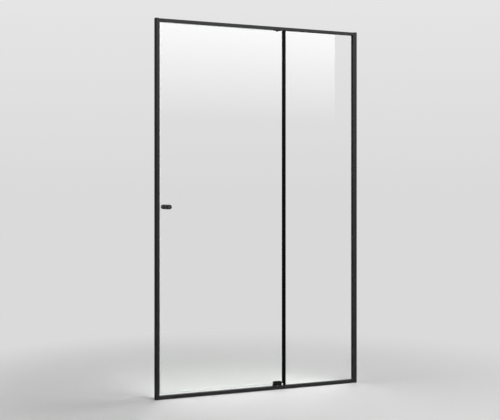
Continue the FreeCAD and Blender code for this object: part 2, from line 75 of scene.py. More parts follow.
# The pieces that share a finish, by the names of their solids
COATED_SECTIONS = ("closing_jamb", "glazing_jamb", "head_rail", "sill_rail", "head_filler", "sill_filler")
ANODISED_SECTIONS = ("mullion", "wall_channel_left", "wall_channel_right")
CAST_PIECES = ("top_shoe", "bottom_shoe", "top_bracket", "bottom_bracket")
JAMB_CAPS = ("jamb_cap_left", "jamb_cap_right")
GASKETS = ("gaskets_front", "gaskets_rear")
RUBBER_PADS = ("setting_blocks", "top_shoe_pad", "bottom_shoe_pad")
BLACK_SEALS = ("hinge_seal", "magnet_carrier")
CLEAR_SEALS = ("closing_seal", "drip_seal")
KNOB_LINERS = ("knob_washers", "knob_sleeve")
MAGNETS = ("jamb_magnet", "door_magnet")
BEARINGS = ("top_bush", "bottom_bush", "thrust_washer")
TURNED_STEEL = ("bottom_pin", "knob_stud")

# The way that each group of screws points, or None where each screw points to the door's middle height
SCREW_DIRECTIONS = {
    "jamb_screws_left": (0, -1, 0),
    "jamb_screws_right": (0, -1, 0),
    "corner_screws_left": (1, 0, 0),
    "corner_screws_right": (-1, 0, 0),
    "top_bracket_screws": (0, 0, 1),
    "bottom_bracket_screws": (0, 0, -1),
    "mullion_screws": None,
}
COUNTERSUNK_SCREWS = ("top_bracket_screws", "bottom_bracket_screws")

# Sockets of the Mix node when it mixes colours
MIX_FACTOR, MIX_A, MIX_B, MIX_RESULT = 0, 6, 7, 2
# The range in which most of the Noise node's output lies
NOISE_LOW, NOISE_HIGH = 0.32, 0.68
# The spacing of the Wave node's bands at a scale of one
WAVE_SPACING = 2 * math.pi / 20
GLASS_IOR = 1.52
PVC_IOR = 1.53

# Points that round to the same multiple of this are one
WELD_DISTANCE = 0.001 * MM
# Faces that turn by more than this meet in a sharp edge
SHARP_ANGLE = math.radians(40)
# Triangles that turn by less than this are one flat face
FLAT_ANGLE = math.radians(0.5)
# What turns further than this from a pane's faces is its edge
PANE_EDGE_ANGLE = math.radians(10)
# Faces across a rounded edge, and points on a rounded corner of an outline
EDGE_FACES = 3
ARC_POINTS = 7
# A direction that lies along no piece's axis
OFF_AXIS = (0.31, 0.52, 0.79)
# Faces round each turned shape
COVER_SIDES = 48
SCREW_SIDES = 24
GRUB_SIDES = 48
KNOB_SIDES = 96
FLOOR_SIDES = 64

# A screw cover's hollow, and the roundings of its small corners and its shoulder, as shares of its radius
COVER_HOLLOW_SHARE = 0.62
COVER_CORNER_SHARES = (0.05, 0.05, 0.06)
COVER_SHOULDER_SHARE = 0.34
# The heights of its hollow and its side, as shares of its rise
COVER_CEILING_SHARE = 0.7
COVER_SIDE_SHARE = 0.72

# A screw's cross recess: half its arms' width, their reach and the runs of their sloped walls and ends, as
# shares of the head's radius, and its depth as a share of the head's height
RECESS_ARM_SHARE = 0.256
RECESS_REACH_SHARE = 0.6
RECESS_WALL_SHARE = 0.16
RECESS_END_SHARE = 1 / 6
RECESS_DEPTH_SHARE = 0.55
# How far a pan head falls from its middle to its rim, as a share of its height
PAN_CROWN_SHARE = 0.08
HEAD_ROWS = 9
# Half a thread's width as a share of its pitch, and the rows of points in one turn
THREAD_SHARE = 0.25
THREAD_ROWS = 6
# A screw's blunt end as a share of its core, and how many cores the tip would widen by in the shank's length
TIP_SHARE = 0.35
TIP_SLOPE = 6

# A grub screw: its chamfer as a share of its radius, and where its socket's wall and its point end, as
# shares of its length
GRUB_CHAMFER_SHARE = 0.18
SOCKET_FLOOR_SHARE = 0.45
SOCKET_CONE_SHARE = 0.4
SOCKET_FLATS = 6

# Roundings of the knob's corners from the bore's bottom to the bar's inner end
KNOB_ROUNDINGS = (0.1 * MM, 0.15 * MM, 0.25 * MM, 0.3 * MM, 0.3 * MM)
# Where the dish starts, in roundings from the knob's side
DISH_INSET_SHARE = 1.6
DISH_ROWS = 12

# Where the lights stand, what the softbox in front looks at, and their widths and heights, in metres
KEY_PLACE, KEY_SIZE = (1.2, -3.6, 4.2), (3.0, 2.0)
BACK_PLACE, BACK_SIZE = (2.6, 3.8, 3.4), (2.0, 2.0)
GLARE_PLACE, GLARE_TARGET, GLARE_SIZE = (1.2, -4.0, 2.6), (1.2, 0, 2.6), (2.8, 1.6)
# The picture's width and how far the horizon lies over its middle, in pixels
PICTURE_WIDTH, HORIZON_HEIGHT = 500, 18.1


def linear(hex_colour):
    """An sRGB hex colour as linear red, green and blue."""
    srgb = np.array([int(hex_colour[i:i + 2], 16) for i in (1, 3, 5)]) / 255
    return tuple(np.where(srgb <= 0.04045, srgb / 12.92, ((srgb + 0.055) / 1.055) ** 2.4))


def per_metre(size_mm):
    """The texture scale at which one feature of a pattern is this many millimetres wide."""
    return 1 / (size_mm * MM)


class ShowerDoorFinishes(PropertyGroup):
    """Colours of the door's materials"""

    coat: FloatVectorProperty(
        name="Powder coat", description="Black of the coated aluminium sections", subtype="COLOR",
        default=linear("#222223"), min=0, max=1)
    # Part of this black is the anodic finish's own colour and part is painted shade: it is set darker than
    # the finish itself, standing for the shade in the recessed mullion strip and in the wall channels set
    # back behind the jambs.
    anodised_black_and_recess_shade: FloatVectorProperty(
        name="Anodised black", description="Deep black of the mullion and the wall channels", subtype="COLOR",
        default=linear("#060607"), min=0, max=1)
    casting: FloatVectorProperty(
        name="Castings", description="Black of the lacquered pivot shoes and brackets", subtype="COLOR",
        default=linear("#0d0d0e"), min=0, max=1)
    knob: FloatVectorProperty(
        name="Knob", description="Soft black of the turned and lacquered knob", subtype="COLOR",
        default=linear("#3c3c3d"), min=0, max=1)
    rubber: FloatVectorProperty(
        name="Rubber", description="Black of the glazing gaskets and pads", subtype="COLOR",
        default=linear("#161616"), min=0, max=1)
    # Part of this black is the PVC's own colour and part is painted shade: it is set darker than the PVC
    # itself, standing for the shade in the recessed strip between the panes, and the magnet's profile takes
    # the same darkened black.
    vinyl: FloatVectorProperty(
        name="Black vinyl", description="Black of the hinge seal and the magnet's profile", subtype="COLOR",
        default=linear("#070708"), min=0, max=1)
    clear_vinyl: FloatVectorProperty(
        name="Clear vinyl", description="Tint of the clear door seals", subtype="COLOR",
        default=linear("#eef3f1"), min=0, max=1)
    ferrite: FloatVectorProperty(
        name="Magnet strip", description="Brown black of the bonded ferrite strips", subtype="COLOR",
        default=linear("#2e2925"), min=0, max=1)
    glass: FloatVectorProperty(
        name="Glass", description="Tint of the panes looked through face on", subtype="COLOR",
        default=linear("#fdfefd"), min=0, max=1)
    glass_edge: FloatVectorProperty(
        name="Glass edge", description="Green of the panes' ground edges", subtype="COLOR",
        default=linear("#a9d3c2"), min=0, max=1)
    steel: FloatVectorProperty(
        name="Stainless steel", description="Colour of the screws, pin and stud", subtype="COLOR",
        default=linear("#c3c1bd"), min=0, max=1)
    acetal: FloatVectorProperty(
        name="Acetal", description="Off-white of the pivots' bushes", subtype="COLOR",
        default=linear("#e6e3da"), min=0, max=1)
    nylon: FloatVectorProperty(
        name="Nylon caps", description="Black of the jamb caps and screw covers", subtype="COLOR",
        default=linear("#2b2b2c"), min=0, max=1)


class ShowerDoorSizes(PropertyGroup):
    """Small sizes that only the looks need"""

    cast_edge: FloatProperty(
        name="Cast edge", description="Rounding on the edges of the cast pieces", unit="LENGTH",
        default=0.4 * MM, min=0)
    strip_edge: FloatProperty(
        name="Strip edge", description="Rounding on the edges of the gaskets and seals", unit="LENGTH",
        default=0.25 * MM, min=0)
    cap_edge: FloatProperty(
        name="Cap edge", description="Rounding on the edges of the jamb caps", unit="LENGTH",
        default=0.6 * MM, min=0)
    knob_edge: FloatProperty(
        name="Knob edge", description="Rounding at the knob's rim", unit="LENGTH", default=1.6 * MM, min=0)
    knob_neck: FloatProperty(
        name="Knob neck", description="Depth of the groove where the knob meets its washer", unit="LENGTH",
        default=2.0 * MM, min=0)
    knob_neck_width: FloatProperty(
        name="Knob neck width", description="Length of the groove along the knob", unit="LENGTH",
        default=2.5 * MM, min=0)
    knob_dish: FloatProperty(
        name="Knob dish", description="Depth of the hollow turned into the knob's end", unit="LENGTH",
        default=0.6 * MM, min=0)
    knob_bore: FloatProperty(
        name="Knob bore", description="Radius of the threaded bore in the knob", unit="LENGTH",
        default=3.05 * MM, min=0)
    knob_bore_depth: FloatProperty(
        name="Knob bore depth", description="Depth of the threaded bore in the knob", unit="LENGTH",
        default=16.0 * MM, min=0)
    thread_pitch: FloatProperty(
        name="Thread pitch", description="Rise of the self-tapping screws' thread in one turn", unit="LENGTH",
        default=1.3 * MM, min=0)
    thread_depth: FloatProperty(
        name="Thread depth", description="Height of the thread over the screw's core", unit="LENGTH",
        default=0.35 * MM, min=0)
    screw_core: FloatProperty(
        name="Screw core", description="Core radius of the self-tapping screws", unit="LENGTH",
        default=1.4 * MM, min=0)
    screw_head_height: FloatProperty(
        name="Screw head height", description="Height of the pan screws' heads", unit="LENGTH",
        default=2.2 * MM, min=0)
    countersink_height: FloatProperty(
        name="Countersink height", description="Height of the countersunk screws' heads", unit="LENGTH",
        default=1.6 * MM, min=0)
    socket_width: FloatProperty(
        name="Hexagon socket", description="Key size of the grub screws, across the flats", unit="LENGTH",
        default=2.0 * MM, min=0)


class ShowerDoorStage(PropertyGroup):
    """Camera, floor and lights"""

    camera_place: FloatVectorProperty(
        name="Camera place", description="Where the camera stands", subtype="TRANSLATION",
        default=(-2.112, -4.816, 1.089))
    camera_heading: FloatProperty(
        name="Camera heading", description="Turn of the level camera from straight on", subtype="ANGLE",
        default=math.radians(-23.09))
    focal_length: FloatProperty(
        name="Focal length", description="Lens, in millimetres on a 36 mm sensor", unit="CAMERA",
        default=69.1, min=1)
    horizon_shift: FloatProperty(
        name="Horizon shift", description="Share of the picture's width that the view is shifted down by",
        default=HORIZON_HEIGHT / PICTURE_WIDTH)
    background: FloatVectorProperty(
        name="Background", description="Tone of the backdrop's foot and the far floor", subtype="COLOR",
        default=linear("#dadada"), min=0, max=1)
    background_top: FloatVectorProperty(
        name="Background top", description="Tone of the backdrop high up", subtype="COLOR",
        default=linear("#e6e6e6"), min=0, max=1)
    background_rise: FloatProperty(
        name="Background rise", description="Angle over the horizon at which the backdrop is lightest",
        subtype="ANGLE", default=math.radians(12))
    floor: FloatVectorProperty(
        name="Floor", description="Tone of the floor under the door", subtype="COLOR",
        default=linear("#d6d6d6"), min=0, max=1)
    floor_radius: FloatProperty(
        name="Floor radius", description="Where the floor ends", unit="LENGTH", default=40.0, min=1)
    fade_start: FloatProperty(
        name="Fade start", description="Distance at which the floor starts to turn into the backdrop",
        unit="LENGTH", default=0.7, min=0)
    fade_end: FloatProperty(
        name="Fade end", description="Distance at which the floor is one with the backdrop", unit="LENGTH",
        default=2.4, min=0)
    ambient: FloatProperty(
        name="Ambient", description="Light from all round", default=0.14, min=0)
    key_power: FloatProperty(
        name="Key light", description="Power of the high front light", unit="POWER", default=170.0, min=0)
    back_power: FloatProperty(
        name="Back light", description="Power of the light on the shower side", unit="POWER",
        default=110.0, min=0)
    glare_power: FloatProperty(
        name="Glare light", description="Power of the softbox that the panes mirror", unit="POWER",
        default=115.0, min=0)


def finishes():
    return bpy.context.scene.shower_door_finishes


def sizes():
    return bpy.context.scene.shower_door_sizes


def stage():
    return bpy.context.scene.shower_door_stage


# Materials


def add(tree, kind, sockets=None, **settings):
    """Adds a node with its settings, and fills each named socket with a value or a link."""
    node = tree.nodes.new(kind)
    for name, value in settings.items():
        setattr(node, name, value)
    for name, value in (sockets or {}).items():
        if isinstance(value, bpy.types.NodeSocket):
            tree.links.new(value, node.inputs[name])
        else:
            node.inputs[name].default_value = value
    return node


def blank(name):
    """A new material with an empty node tree."""
    material = bpy.data.materials.new(name)
    material.use_nodes = True
    material.node_tree.nodes.clear()
    return material, material.node_tree


def opaque(colour, share=1.0):
    """A colour with full alpha, scaled by a share."""
    return (*(min(1.0, value * share) for value in colour), 1.0)


def grained(name, colour, roughness, grain_mm, relief_mm, drift_mm, tone_share, shader, stretch=(1, 1, 1)):
    """A solid finish. A fine grain lifts the surface and varies its gloss, and with a broad drift its tone.

    roughness gives the least and the greatest, stretch draws both patterns out along an axis, and shader
    fills the shader's other sockets. Noise stays near its middle, so the ranges that read it start at its
    usual ends."""
    material, tree = blank(name)
    place = add(tree, "ShaderNodeTexCoord").outputs["Object"]
    place = add(tree, "ShaderNodeMapping", {"Vector": place, "Scale": stretch}).outputs["Vector"]
    grain = add(tree, "ShaderNodeTexNoise", {"Vector": place, "Scale": per_metre(grain_mm), "Detail": 3.0})
    drift = add(tree, "ShaderNodeTexNoise", {"Vector": place, "Scale": per_metre(drift_mm), "Detail": 4.0})
    cloud = add(tree, "ShaderNodeMath", {0: grain.outputs["Fac"], 1: drift.outputs["Fac"]}, operation="ADD")
    shade = add(tree, "ShaderNodeMapRange", {
        "Value": cloud.outputs["Value"], "From Min": 2 * NOISE_LOW, "From Max": 2 * NOISE_HIGH})
    tone = add(tree, "ShaderNodeMix", {
        MIX_FACTOR: shade.outputs["Result"],
        MIX_A: opaque(colour, 1 - tone_share),
        MIX_B: opaque(colour, 1 + tone_share),
    }, data_type="RGBA")
    rough = add(tree, "ShaderNodeMapRange", {
        "Value": grain.outputs["Fac"], "From Min": NOISE_LOW, "From Max": NOISE_HIGH,
        "To Min": roughness[0], "To Max": roughness[1]})
    relief = add(tree, "ShaderNodeBump", {
        "Height": grain.outputs["Fac"], "Distance": relief_mm * MM, "Strength": 1.0})
    surface = add(tree, "ShaderNodeBsdfPrincipled", {
        "Base Color": tone.outputs[MIX_RESULT],
        "Roughness": rough.outputs["Result"],
        "Normal": relief.outputs["Normal"],
        **shader,
    })
    add(tree, "ShaderNodeOutputMaterial", {"Surface": surface.outputs["BSDF"]})
    return material


def powder_coated_aluminium():
    """Polyester powder baked on extruded aluminium: a dry black with a fine orange peel and a soft sheen.
    The peel is about half a millimetre wide and is drawn at twice that."""
    return grained(
        "powder_coated_aluminium", finishes().coat, roughness=(0.46, 0.66), grain_mm=1.0, relief_mm=0.1,
        drift_mm=60.0, tone_share=0.16, shader={"Specular IOR Level": 0.2})


def anodised_aluminium():
    """Black anodic coating on aluminium: a deeper, smoother black than powder, with the die's lines along it.
    Its colour is set darker than the finish itself, so part of the black is painted shade of the recessed
    mullion strip and wall channels.
    The lines are finer than a tenth of a millimetre and are drawn coarser, so that they show."""
    return grained(
        "anodised_aluminium", finishes().anodised_black_and_recess_shade, roughness=(0.38, 0.5), grain_mm=0.8, relief_mm=0.006,
        drift_mm=40.0, tone_share=0.15, shader={"Specular IOR Level": 0.05}, stretch=(1, 1, 0.02))


def lacquered_zinc():
    """Zinc die casting under a satin black lacquer: smoother than powder, with a broad soft highlight."""
    return grained(
        "lacquered_zinc_casting", finishes().casting, roughness=(0.34, 0.46), grain_mm=2.0, relief_mm=0.012,
        drift_mm=9.0, tone_share=0.10, shader={"Specular IOR Level": 0.12})


def moulded_nylon():
    """Injection-moulded nylon with a spark-eroded skin: even, matt and a little grey.
    The skin's pits are about a tenth of a millimetre wide and are drawn coarser, so that they show."""
    return grained(
        "moulded_nylon", finishes().nylon, roughness=(0.55, 0.75), grain_mm=0.6, relief_mm=0.03,
        drift_mm=8.0, tone_share=0.10, shader={"Specular IOR Level": 0.3})


def extruded_rubber():
    """Extruded EPDM: a dead black that a little bloom greys in patches along the strip."""
    return grained(
        "extruded_epdm_rubber", finishes().rubber, roughness=(0.7, 0.88), grain_mm=1.2, relief_mm=0.02,
        drift_mm=30.0, tone_share=0.25, shader={"Specular IOR Level": 0.25})


def black_vinyl():
    """Extruded black PVC: smooth, with faint flow lines along the strip, drawn coarser than they are. Its
    black is set darker than the PVC's own, so part of it is painted shade of the recessed strip between the
    panes.
    """
    return grained(
        "extruded_black_pvc", finishes().vinyl, roughness=(0.42, 0.58), grain_mm=0.9, relief_mm=0.01,
        drift_mm=25.0, tone_share=0.18, shader={"Specular IOR Level": 0.06}, stretch=(1, 1, 0.03))


def bonded_ferrite():
    """Ferrite powder in rubber: brown black and matt, with specks that are drawn coarser than they are."""
    return grained(
        "bonded_ferrite_strip", finishes().ferrite, roughness=(0.65, 0.85), grain_mm=0.5, relief_mm=0.03,
        drift_mm=3.0, tone_share=0.3, shader={"Specular IOR Level": 0.3})


def turned_acetal():
    """Turned natural acetal: off-white, waxy and slightly see-through at its edges.
    The tool's marks are about a tenth of a millimetre wide and are drawn at four times that."""
    return grained(
        "turned_acetal", finishes().acetal, roughness=(0.35, 0.5), grain_mm=0.4, relief_mm=0.01,
        drift_mm=6.0, tone_share=0.04,
        shader={"Subsurface Weight": 0.2, "Subsurface Radius": (1.0 * MM, 0.8 * MM, 0.6 * MM)})


def stainless_steel():
    """Cold-formed stainless steel: bright, with fine scratches that spread its highlights.
    The scratches are drawn coarser than they are, so that they show."""
    return grained(
        "cold_formed_stainless_steel", finishes().steel, roughness=(0.22, 0.4), grain_mm=0.3, relief_mm=0.006,
        drift_mm=2.0, tone_share=0.08, shader={"Metallic": 1.0})


def float_glass():
    """Toughened float glass, clear face on. It mirrors the lights sharply, and lamps pass through it.
    Faint dried streaks, drawn some centimetres wide, dull the mirror a little."""
    streak_mm, streak_stretch = 35.0, (1, 1, 0.15)
    shadow_share = 0.94
    material, tree = blank("toughened_float_glass")
    place = add(tree, "ShaderNodeTexCoord").outputs["Object"]
    place = add(tree, "ShaderNodeMapping", {"Vector": place, "Scale": streak_stretch}).outputs["Vector"]
    streaks = add(tree, "ShaderNodeTexNoise", {"Vector": place, "Scale": per_metre(streak_mm), "Detail": 4.0})
    dulling = add(tree, "ShaderNodeMapRange", {
        "Value": streaks.outputs["Fac"], "From Min": 0.5, "From Max": 0.8, "To Min": 0.0, "To Max": 0.02})
    surface = add(tree, "ShaderNodeBsdfPrincipled", {
        "Base Color": opaque(finishes().glass),
        "Roughness": dulling.outputs["Result"],
        "IOR": GLASS_IOR,
        "Transmission Weight": 1.0,
    })
    lamp = add(tree, "ShaderNodeBsdfTransparent", {"Color": opaque(finishes().glass, shadow_share)})
    ray = add(tree, "ShaderNodeLightPath")
    both = add(tree, "ShaderNodeMixShader", {
        0: ray.outputs["Is Shadow Ray"], 1: surface.outputs["BSDF"], 2: lamp.outputs["BSDF"]})
    add(tree, "ShaderNodeOutputMaterial", {"Surface": both.outputs["Shader"]})
    return material


def ground_edge():
    """The ground and polished edge of a pane, which looks green because light runs along the sheet.
    The wheel's marks are finer than a tenth of a millimetre and are drawn coarser, so that they show."""
    return grained(
        "ground_glass_edge", finishes().glass_edge, roughness=(0.1, 0.18), grain_mm=0.8, relief_mm=0.003,
        drift_mm=12.0, tone_share=0.06, shader={"Transmission Weight": 0.4, "IOR": GLASS_IOR})


def clear_vinyl():
    """Extruded clear PVC about a millimetre thick: see-through with a faint haze, and with flow lines along
    the strip, drawn coarser than they are. Its walls are too thin to bend the view, so the haze on each face
    covers a share of what lies behind."""
    return grained(
        "extruded_clear_pvc", finishes().clear_vinyl, roughness=(0.15, 0.3), grain_mm=1.5, relief_mm=0.01,
        drift_mm=20.0, tone_share=0.05, shader={"Alpha": 0.05, "IOR": PVC_IOR}, stretch=(1, 1, 0.05))


def lacquered_brass(centre):
    """Turned brass under a matt black lacquer. The tool's marks ring the end and the side, and spread each
    highlight across them; they are a tenth of a millimetre apart and are drawn six times as wide.

    A mark lies wherever the distance from the bar's axis plus the distance along it is the same."""
    mark_mm, relief_mm = 0.6, 0.012
    dark_share, light_share = 0.9, 1.15
    material, tree = blank("turned_brass_black_lacquer")
    place = add(tree, "ShaderNodeTexCoord").outputs["Object"]
    place = add(tree, "ShaderNodeMapping", {
        "Vector": place, "Location": [-value for value in centre]}).outputs["Vector"]
    spoke = add(tree, "ShaderNodeVectorMath", {0: place, 1: (1, 0, 1)}, operation="MULTIPLY")
    radius = add(tree, "ShaderNodeVectorMath", {0: spoke.outputs["Vector"]}, operation="LENGTH")
    along = add(tree, "ShaderNodeSeparateXYZ", {0: place})
    travel = add(tree, "ShaderNodeMath", {0: radius.outputs["Value"], 1: along.outputs["Y"]}, operation="ADD")
    marks = add(tree, "ShaderNodeTexWave", {
        "Vector": travel.outputs["Value"], "Scale": per_metre(mark_mm) * WAVE_SPACING,
        "Distortion": 0.3, "Detail": 1.0})
    rough = add(tree, "ShaderNodeMapRange", {"Value": marks.outputs["Fac"], "To Min": 0.55, "To Max": 0.7})
    tone = add(tree, "ShaderNodeMix", {
        MIX_FACTOR: marks.outputs["Fac"],
        MIX_A: opaque(finishes().knob, dark_share),
        MIX_B: opaque(finishes().knob, light_share),
    }, data_type="RGBA")
    relief = add(tree, "ShaderNodeBump", {
        "Height": marks.outputs["Fac"], "Distance": relief_mm * MM, "Strength": 1.0})
    surface = add(tree, "ShaderNodeBsdfPrincipled", {
        "Base Color": tone.outputs[MIX_RESULT],
        "Roughness": rough.outputs["Result"],
        "Normal": relief.outputs["Normal"],
        "Specular IOR Level": 0.12,
    })
    add(tree, "ShaderNodeOutputMaterial", {"Surface": surface.outputs["BSDF"]})
    return material


def dress(nodes, material):
    """Gives solids that keep their shape a finish."""
    for node in nodes:
        for holder in frame["nodes"][node].material_slots:
            holder.material = material


# Meshes


def unit(vector):
    """A vector's direction, with a length of one."""
    vector = np.asarray(vector, float)
    return vector / np.linalg.norm(vector)


def angles(count):
    """Angles that share a full turn evenly."""
    return np.arange(count) * (2 * np.pi / count)


def on_axis(low, high, y):
    """The point at y on the line along Y through a box's middle."""
    return (low[0] + high[0]) / 2, y, (low[2] + high[2]) / 2


def welded(points, faces):
    """Joins points that round to the same place, and returns the points that are left and the faces."""
    keys = np.round(points / WELD_DISTANCE).astype(np.int64)
    _, first, joined_to = np.unique(keys, axis=0, return_index=True, return_inverse=True)
    return points[first], joined_to.reshape(-1)[faces]


def make_piece(name, points, faces, material):
    """A mesh object from arrays of points and of triangles or quads.

    A quad with a repeated corner becomes a triangle."""
    points, faces = welded(points, faces)
    apart = faces != np.roll(faces, 1, axis=1)
    corners = apart.sum(axis=1)
    listed = []
    for count in (3, 4):
        rows = corners == count
        listed += faces[rows][apart[rows]].reshape(-1, count).tolist()
    mesh = bpy.data.meshes.new(name)
    mesh.from_pydata(points.tolist(), [], listed)
    mesh.validate()
    mesh.shade_smooth()
    mesh.set_sharp_from_angle(angle=SHARP_ANGLE)
    mesh.materials.append(material)
    piece = bpy.data.objects.new(name, mesh)
    bpy.context.scene.collection.objects.link(piece)
    return piece


def turned(radius, height, start, axis):
    """Points and quads of a surface round an axis, which has a radius and a height at each row and angle.

    The rows run from the foot's middle up the outside to the top's middle, and the angles go right round, so
    that point = start + axis * height + radius * (cosine * side + sine * across)."""
    radius, height = np.broadcast_arrays(radius, height)
    rows, columns = radius.shape
    axis = unit(axis)
    side = unit(np.cross(axis, OFF_AXIS))
    across = np.cross(axis, side)
    angle = angles(columns)
    spoke = np.cos(angle)[:, None] * side + np.sin(angle)[:, None] * across
    points = np.asarray(start, float) + height[..., None] * axis + radius[..., None] * spoke
    index = np.arange(rows * columns).reshape(rows, columns)
    index = np.concatenate([index, index[:, :1]], axis=1)
    quads = np.stack([index[:-1, :-1], index[:-1, 1:], index[1:, 1:], index[1:, :-1]], axis=-1)
    return points.reshape(-1, 3), quads.reshape(-1, 4)


def turned_outline(line, sides, start, axis):
    """A turned surface that is the same at every angle; each row of its line is a radius and a height."""
    return turned(np.repeat(line[:, :1], sides, axis=1), line[:, 1:], start, axis)


def joined(parts):
    """Several point and face arrays as one."""
    offsets = np.cumsum([0] + [len(points) for points, _ in parts[:-1]])
    return (np.concatenate([points for points, _ in parts]),
            np.concatenate([faces + offset for (_, faces), offset in zip(parts, offsets)]))


def rounded(corners, radii):
    """An open line through corners, each inner corner being an arc that touches both of its runs.

    The arc's ends lie radius * tan(turn / 2) from the corner, and its centre is square to the first run."""
    corners = np.asarray(corners, float)
    runs = np.diff(corners, axis=0)
    runs /= np.linalg.norm(runs, axis=1, keepdims=True)
    before, after = runs[:-1], runs[1:]
    turn = np.arctan2(before[:, 0] * after[:, 1] - before[:, 1] * after[:, 0], (before * after).sum(axis=1))
    radii = np.asarray(radii, float)
    start = corners[1:-1] - before * (radii * np.abs(np.tan(turn / 2)))[:, None]
    left = np.stack([-before[:, 1], before[:, 0]], axis=1) * np.sign(turn)[:, None]
    centre = start + left * radii[:, None]
    first = np.arctan2(-left[:, 1], -left[:, 0])
    angle = first[:, None] + turn[:, None] * np.linspace(0, 1, ARC_POINTS)
    arcs = centre[:, None] + radii[:, None, None] * np.stack([np.cos(angle), np.sin(angle)], axis=-1)
    return np.concatenate([corners[:1], arcs.reshape(-1, 2), corners[-1:]])


def triangles(node):
    """The points and triangles of a solid's mesh."""
    mesh = frame["nodes"][node].data
    points = np.empty(len(mesh.vertices) * 3)
    mesh.vertices.foreach_get("co", points)
    mesh.calc_loop_triangles()
    faces = np.empty(len(mesh.loop_triangles) * 3, int)
    mesh.loop_triangles.foreach_get("vertices", faces)
    return points.reshape(-1, 3), faces.reshape(-1, 3)


def copy_of(node, name, material):
    """A welded copy of a solid's mesh as a new piece, which stands for that solid."""
    return make_piece(name, *triangles(node), material)


def eased(piece, width):
    """Merges a copied solid's flat triangles and rounds its sharp edges."""
    flat = piece.modifiers.new("flat_faces", "DECIMATE")
    flat.decimate_type = "DISSOLVE"
    flat.angle_limit = FLAT_ANGLE
    edge = piece.modifiers.new("eased_edges", "BEVEL")
    edge.width = width
    edge.segments = EDGE_FACES
    edge.limit_method = "ANGLE"
    edge.angle_limit = SHARP_ANGLE
    edge.harden_normals = True
    return piece


def seat(piece, node):
    """Puts a finished piece in a solid's place: on its body, with the solid hidden."""
    record = frame["record"]
    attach(piece, next(body for body, nodes in record["behaviour"]["bodies"].items() if node in nodes))
    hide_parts(node)


def solid_boxes(node):
    """The lowest and highest corners of each separate solid in a node.

    Each point takes the lowest number among its triangles' points until nothing changes, so that a solid's
    points end with the same number."""
    points, faces = welded(*triangles(node))
    island = np.arange(len(points))
    while (island[faces] != island[faces[:, :1]]).any():
        np.minimum.at(island, faces, island[faces].min(axis=1, keepdims=True))
    solids = [points[island == label] for label in np.unique(island)]
    return [(solid.min(axis=0), solid.max(axis=0)) for solid in solids]


# Operators


class ShowerDoorOperator:
    """What all the door's operators share"""

    bl_options = {"REGISTER", "UNDO"}


class SHOWERDOOR_OT_sections(ShowerDoorOperator, Operator):
    """Coat the jambs, rails and pocket strips, and anodise the mullion and the wall channels"""

    bl_idname = "shower_door.sections"
    bl_label = "Coat the sections"

    def execute(self, context):
        dress(COATED_SECTIONS, powder_coated_aluminium())
        dress(ANODISED_SECTIONS, anodised_aluminium())
        return {"FINISHED"}


class SHOWERDOOR_OT_panes(ShowerDoorOperator, Operator):
    """Glaze the door and the fixed pane, with ground green edges"""

    bl_idname = "shower_door.panes"
    bl_label = "Glaze the panes"

    def execute(self, context):
        glass = float_glass()
        edge = ground_edge()
        for node, name in (("door_glass", "door_pane"), ("fixed_glass", "fixed_pane")):
            pane = copy_of(node, name, glass)
            pane.data.materials.append(edge)
            normals = np.empty(len(pane.data.polygons) * 3)
            pane.data.polygons.foreach_get("normal", normals)
            on_edge = np.abs(normals.reshape(-1, 3)[:, 1]) < math.cos(PANE_EDGE_ANGLE)
            pane.data.polygons.foreach_set("material_index", on_edge.astype(np.int32))
            seat(pane, node)
        return {"FINISHED"}


class SHOWERDOOR_OT_seals(ShowerDoorOperator, Operator):
    """Round the edges of the gaskets and the door's seals, and finish them, the pads and the magnets"""

    bl_idname = "shower_door.seals"
    bl_label = "Finish the seals"

    def execute(self, context):
        rubber = extruded_rubber()
        clear = clear_vinyl()
        for nodes, finish in ((GASKETS, rubber), (BLACK_SEALS, black_vinyl()), (CLEAR_SEALS, clear)):
            for node in nodes:
                seat(eased(copy_of(node, f"{node}_extrusion", finish), sizes().strip_edge), node)
        dress(RUBBER_PADS, rubber)
        dress(KNOB_LINERS, clear)
        dress(MAGNETS, bonded_ferrite())
        return {"FINISHED"}


class SHOWERDOOR_OT_pivots(ShowerDoorOperator, Operator):
    """Round the edges of the cast pivot shoes and brackets, and finish the bushes, the pin and the stud"""

    bl_idname = "shower_door.pivots"
    bl_label = "Finish the pivots"

    def execute(self, context):
        casting = lacquered_zinc()
        for node in CAST_PIECES:
            seat(eased(copy_of(node, f"{node}_casting", casting), sizes().cast_edge), node)
        dress(BEARINGS, turned_acetal())
        dress(TURNED_STEEL, stainless_steel())
        return {"FINISHED"}


class SHOWERDOOR_OT_caps(ShowerDoorOperator, Operator):
    """Round the jamb caps and turn the rounded covers of the jamb screws"""

    bl_idname = "shower_door.caps"
    bl_label = "Mould the caps"

    def execute(self, context):
        nylon = moulded_nylon()
        for node in JAMB_CAPS:
            seat(eased(copy_of(node, f"{node}_moulding", nylon), sizes().cap_edge), node)
        for side in ("left", "right"):
            node = f"jamb_screw_caps_{side}"
            covers = [self.cover(low, high) for low, high in solid_boxes(node)]
            seat(make_piece(f"screw_covers_{side}", *joined(covers), nylon), node)
        return {"FINISHED"}

    def cover(self, low, high):
        """A cover turned about Y: a hollow for the screw's head, a rim, a rounded shoulder and a low cone.

        The line runs from the hollow's ceiling down to the rim, up the side and in to the top's middle."""
        radius = (high[2] - low[2]) / 2
        rise = high[1] - low[1]
        hollow = COVER_HOLLOW_SHARE * radius
        ceiling = COVER_CEILING_SHARE * rise
        side = COVER_SIDE_SHARE * rise
        line = rounded(
            [(0, ceiling), (hollow, ceiling), (hollow, 0), (radius, 0), (radius, side), (0, rise)],
            radius * np.array([*COVER_CORNER_SHARES, COVER_SHOULDER_SHARE]))
        return turned_outline(line, COVER_SIDES, on_axis(low, high, low[1]), (0, 1, 0))


